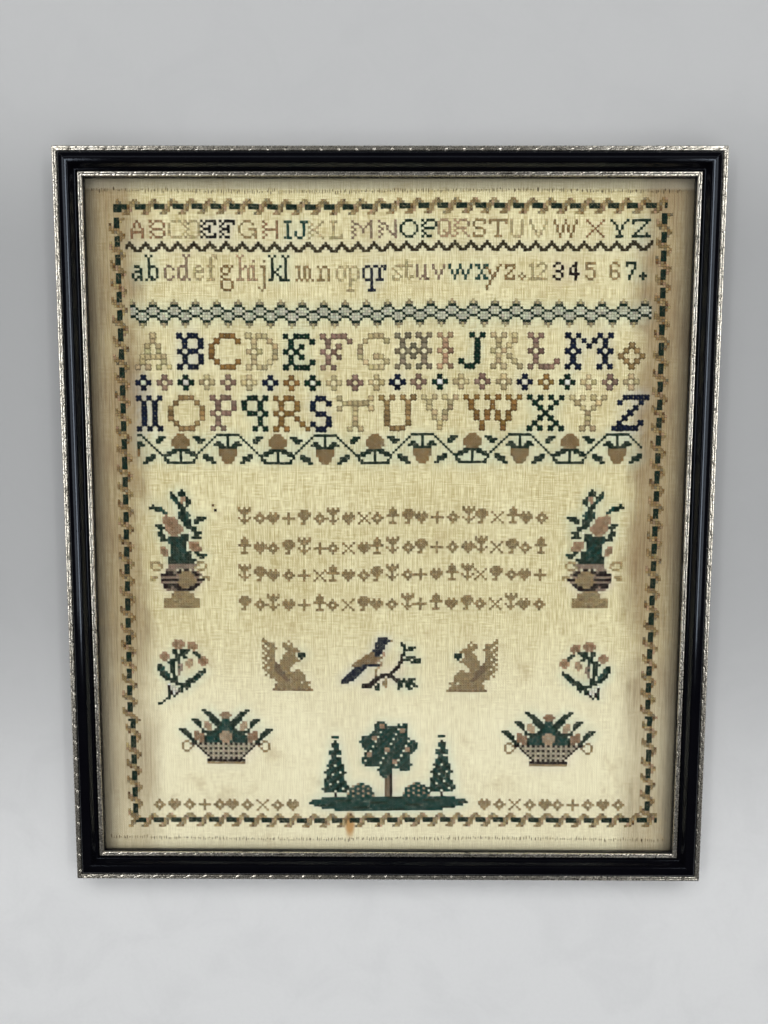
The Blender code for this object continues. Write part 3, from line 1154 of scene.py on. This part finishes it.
def linenMaterial():
    material, tree, shader, place = newMaterial("aged linen", Roughness=0.92, Sheen_Weight=0.15)
    shader.inputs["Specular IOR Level"].default_value = 0.2
    x, y, z = addNode(tree, "SeparateXYZ", {0: place}).outputs
    upright = grain(tree, place, (1700.0, 120.0, 1.0), 3.0, 0.6)
    level = grain(tree, place, (110.0, 1600.0, 1.0), 3.0, 0.6)
    wide = grain(tree, place, (520.0, 30.0, 1.0), 2.0)
    blotch = grain(tree, place, (22.0, 17.0, 1.0), 4.0, 0.6, 0.4)
    # Plain weave: the warp shows on one square of the check and the weft on the next
    wave = {}
    for name, axis, pitch in zip(("warp", "weft"), (x, y), stitch["pitch"]):
        pitch = pitch / 2.0
        wave[name] = sums(tree, "SINE", times(tree, axis, math.pi / (pitch * mm)))
    weave = between(tree, times(tree, wave["warp"], wave["weft"]), -0.9, 0.9)
    tone = layered(tree, (upright, 0.40), (level, 0.34), (wide, 0.14), (blotch, 0.12))
    # Every other warp thread is a little thicker, which reads as fine upright stripes
    lead = sums(tree, "MULTIPLY_ADD", x, 2.0 * math.pi / (linenTone["stripe"] * mm), wide)
    tone = sums(tree, "MULTIPLY_ADD", sums(tree, "SINE", lead), 0.02, tone)
    tone = between(tree, tone, 0.38, 0.62)
    colour = blendColour(tree, tone, linenTone["shade"], linenTone["light"])
    colour = blendColour(tree, times(tree, weave, 0.24), colour, linenTone["gap"])
    # Toning towards the sides and a little towards the ends
    fromMiddle = sums(tree, "ABSOLUTE", x)
    wander = sums(tree, "MULTIPLY_ADD", blotch, 0.024, -0.012)
    sideways = between(tree, sums(tree, "ADD", fromMiddle, wander), 0.137, 0.153)
    endways = between(tree, sums(tree, "ABSOLUTE", y), 0.188, 0.206, 0.0, 0.2)
    uneven = between(tree, blotch, 0.25, 0.75, 0.55, 1.0)
    toned = times(tree, sums(tree, "MAXIMUM", sideways, endways), uneven)
    toned = times(tree, toned, between(tree, y, -0.17, 0.0, 0.62, 1.0))
    streaked = between(tree, grain(tree, place, (900.0, 26.0, 1.0), 4.0, 0.65), 0.46, 0.62, 0.0, 0.5)
    # One rusty mark at the foot, and pale brown blotches
    away = addNode(tree, "VectorMath", {0: place, 1: linenTone["rustPlace"]}, operation="SUBTRACT").outputs[0]
    away = addNode(tree, "VectorMath", {0: away, 1: (1.0, 0.36, 0.2)}, operation="MULTIPLY").outputs[0]
    away = addNode(tree, "VectorMath", {0: away}, operation="LENGTH").outputs["Value"]
    faded = between(tree, grain(tree, place, (46.0, 40.0, 1.0), 5.0, 0.65), 0.56, 0.72, 0.0, 0.35)
    for share, tint in (
        # Painted light: the linen is painted lighter towards its foot
        (between(tree, y, -0.13, -0.04, 0.5, 0.0), "foot"),
        (times(tree, toned, 0.92), "brown"),
        (times(tree, streaked, toned), "streak"),
        # Painted shadow of the side rails along both edges of the linen
        (between(tree, fromMiddle, 0.162, 0.1745, 0.0, 0.62), "edge"),
        (between(tree, y, 0.1945, 0.1965, 0.0, 0.5), "hem"),
        (between(tree, away, 0.0016, 0.0042, 0.85, 0.0), "rust"),
        (faded, "blotch"),
    ):
        colour = blendColour(tree, share, colour, linenTone[tint])
    dye = addNode(tree, "Attribute", attribute_name="dyeTint").outputs
    share = times(tree, dye["Alpha"], between(tree, tone, 0.0, 1.0, 0.75, 1.0))
    tree.links.new(blendColour(tree, share, colour, dye["Color"]), shader.inputs["Base Color"])
    height = layered(tree, (weave, -0.6), (upright, 0.9), (level, 0.7))
    addBump(tree, shader, height, 0.55, 0.00018)
    return material


def makeLinen():
    width, height = linen["size"]
    columns, rows = linen["segments"]
    bm = bmesh.new()
    bmesh.ops.create_grid(bm, x_segments=columns, y_segments=rows, size=0.5)
    bmesh.ops.scale(bm, verts=bm.verts, vec=(width, height, 1.0))
    for vert in bm.verts:
        x, y = vert.co.x, vert.co.y
        hemmed = y > linen["hemTop"] or y < linen["hemBottom"]
        crease = 0.05 * noise.noise(Vector((x / 9.0, y / 34.0, 0.0)))
        vert.co.z = linenTop + linenRise(x, y) + crease + (linen["hemRise"] if hemmed else 0.0)
    tint = dyeTint()
    shown = bm.verts.layers.float_color.new("dyeTint")
    for vert in bm.verts:
        i = round((vert.co.x / width + 0.5) * columns)
        j = round((vert.co.y / height + 0.5) * rows)
        vert[shown] = tint[i, j]
    bmesh.ops.scale(bm, verts=bm.verts, vec=(mm, mm, mm))
    sheet = meshFrom(bm, "sampler_linen")
    cloth = finishPiece("sampler_linen", sheet, linenMaterial(), "linen", "sampler_cloth")
    body = cloth.modifiers.new("thickness", "SOLIDIFY")
    body.thickness = linen["thickness"] * mm
    body.offset = -1.0
    return cloth


cloth = makeLinen()
print("linen stretched")


# Glass and backing board keep their solids
def glassMaterial():
    material = bpy.data.materials.new("picture glass")
    material.use_nodes = True
    tree = material.node_tree
    tree.nodes.remove(tree.nodes["Principled BSDF"])
    place = addNode(tree, "TexCoord").outputs["Object"]
    smear = grain(tree, place, (14.0, 60.0, 1.0), 4.0, 0.6, 0.5)
    gloss = addNode(tree, "BsdfGlossy", {"Color": (1.0, 1.0, 1.0, 1.0)})
    tree.links.new(between(tree, smear, 0.4, 0.8, 0.015, 0.06), gloss.inputs["Roughness"])
    clear = addNode(tree, "BsdfTransparent", {"Color": (0.985, 0.99, 0.985, 1.0)})
    slant = addNode(tree, "LayerWeight", {"Blend": 0.5}).outputs["Facing"]
    sheen = sums(tree, "MULTIPLY_ADD", sums(tree, "POWER", slant, 5.0), 0.96, 0.035)
    mixed = addNode(tree, "MixShader", {0: sheen, 1: clear.outputs[0], 2: gloss.outputs[0]})
    output = tree.nodes["Material Output"]
    tree.links.new(mixed.outputs[0], output.inputs["Surface"])
    return material


def boardMaterial():
    material, tree, shader, place = newMaterial("backing board", Roughness=0.8)
    streak = grain(tree, place, (220.0, 7.0, 60.0), 6.0, 0.62, 0.9)
    ring = {"Vector": place, "Scale": 16.0, "Distortion": 5.5, "Detail": 3.0, "Detail Scale": 1.3}
    figure = addNode(tree, "TexWave", ring, bands_direction="X").outputs["Fac"]
    wood = blendColour(tree, streak, (126, 92, 58), (190, 152, 106))
    wood = blendColour(tree, times(tree, figure, 0.35), wood, (108, 76, 46))
    dust = between(tree, grain(tree, place, 30.0, 5.0), 0.5, 0.75, 0.0, 0.35)
    tree.links.new(blendColour(tree, dust, wood, (150, 138, 118)), shader.inputs["Base Color"])
    addBump(tree, shader, streak, 0.35, 0.0003)
    return material


for node, material in (("glass", glassMaterial()), ("backing_board", boardMaterial())):
    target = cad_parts[node]
    target.data.materials.clear()
    target.data.materials.append(material)
print("glass and board finished")


# Floor and light
floorTone = {
    # Painted light: far side darker, near side lighter
    "far": (179, 181, 183),
    "near": (214, 216, 218),
    "cloud": (176, 178, 180),
    "mottle": (158, 160, 164),
    # Colour of the painted shade beside the frame
    "beside": (136, 138, 140),
    "fine": (160, 162, 164),
}


def floorMaterial():
    material, tree, shader, place = newMaterial("pale floor", Roughness=0.75)
    cloudy = grain(tree, place, 2.2, 4.0)
    fine = grain(tree, place, 420.0, 3.0)
    x, y, z = addNode(tree, "SeparateXYZ", {0: place}).outputs
    mottle = between(tree, grain(tree, place, 24.0, 6.0, 0.62, 0.8), 0.42, 0.7, 0.0, 0.1)
    # Painted shade: the floor is painted a little darker on both sides of the frame, as the frame's shadow
    beside = between(tree, sums(tree, "ABSOLUTE", x), 0.10, 0.18)
    beside = times(tree, beside, between(tree, y, -0.24, -0.02))
    beside = times(tree, beside, between(tree, y, 0.16, 0.27, 0.62, 0.0))
    colour = floorTone["far"]
    for share, tint in (
        # Painted light: the floor is painted lighter towards the foot of the frame
        (between(tree, y, -0.26, 0.2, 1.0, 0.0), "near"),
        (times(tree, cloudy, 0.15), "cloud"),
        (mottle, "mottle"),
        (beside, "beside"),
        (times(tree, fine, 0.10), "fine"),
    ):
        colour = blendColour(tree, share, colour, floorTone[tint])
    tree.links.new(colour, shader.inputs["Base Color"])
    addBump(tree, shader, fine, 0.1, 0.0003)
    return material


bm = bmesh.new()
bmesh.ops.create_grid(bm, x_segments=4, y_segments=4, size=3.0)
bmesh.ops.translate(bm, verts=bm.verts, vec=(0.0, 0.0, -0.0004))
floorMesh = meshFrom(bm, "floor")
floorMesh.materials.append(floorMaterial())
floor = bpy.data.objects.new("floor", floorMesh)
bpy.context.scene.collection.objects.link(floor)

softboxes = {
    "leftBox": {"place": (-0.93, 0.28, 1.5), "size": (1.5, 0.26), "power": 6.4},
    "rightBox": {"place": (0.93, 0.28, 1.5), "size": (1.5, 0.26), "power": 6.4},
    "leftWing": {"place": (-1.48, 0.28, 1.5), "size": (1.5, 0.4), "power": 2.6},
    "rightWing": {"place": (1.48, 0.28, 1.5), "size": (1.5, 0.4), "power": 2.6},
    "topStrip": {"place": (0.0, 1.2, 1.2), "size": (2.0, 0.2), "power": 0.45},
    "topLow": {"place": (0.0, 1.55, 1.7), "size": (2.2, 0.8), "power": 29.3, "unmirrored": True},
    "footBox": {"place": (0.0, -1.3, 2.0), "size": (2.0, 0.9), "power": 12.2, "unmirrored": True},
}
for name, spec in softboxes.items():
    data = bpy.data.lights.new(name, "AREA")
    data.shape = "RECTANGLE"
    data.size, data.size_y = spec["size"]
    data.energy = spec["power"]
    data.color = (1.0, 0.985, 0.96)
    lamp = bpy.data.objects.new(name, data)
    place = Vector(spec["place"])
    lamp.location = place
    faced = Vector((0.0, place.y if place.x else 0.0, 0.0))
    lamp.rotation_euler = (faced - place).to_track_quat("-Z", "Y").to_euler()
    lamp.visible_camera = False
    lamp.visible_glossy = "unmirrored" not in spec
    bpy.context.scene.collection.objects.link(lamp)

bpy.context.scene.view_settings.view_transform = "Standard"
world = bpy.data.worlds.new("soft room")
world.cycles_visibility.glossy = False
world.use_nodes = True
world.node_tree.nodes["Background"].inputs["Color"].default_value = (0.95, 0.97, 1.0, 1.0)
world.node_tree.nodes["Background"].inputs["Strength"].default_value = 0.225
bpy.context.scene.world = world
print("floor, lights and camera set")
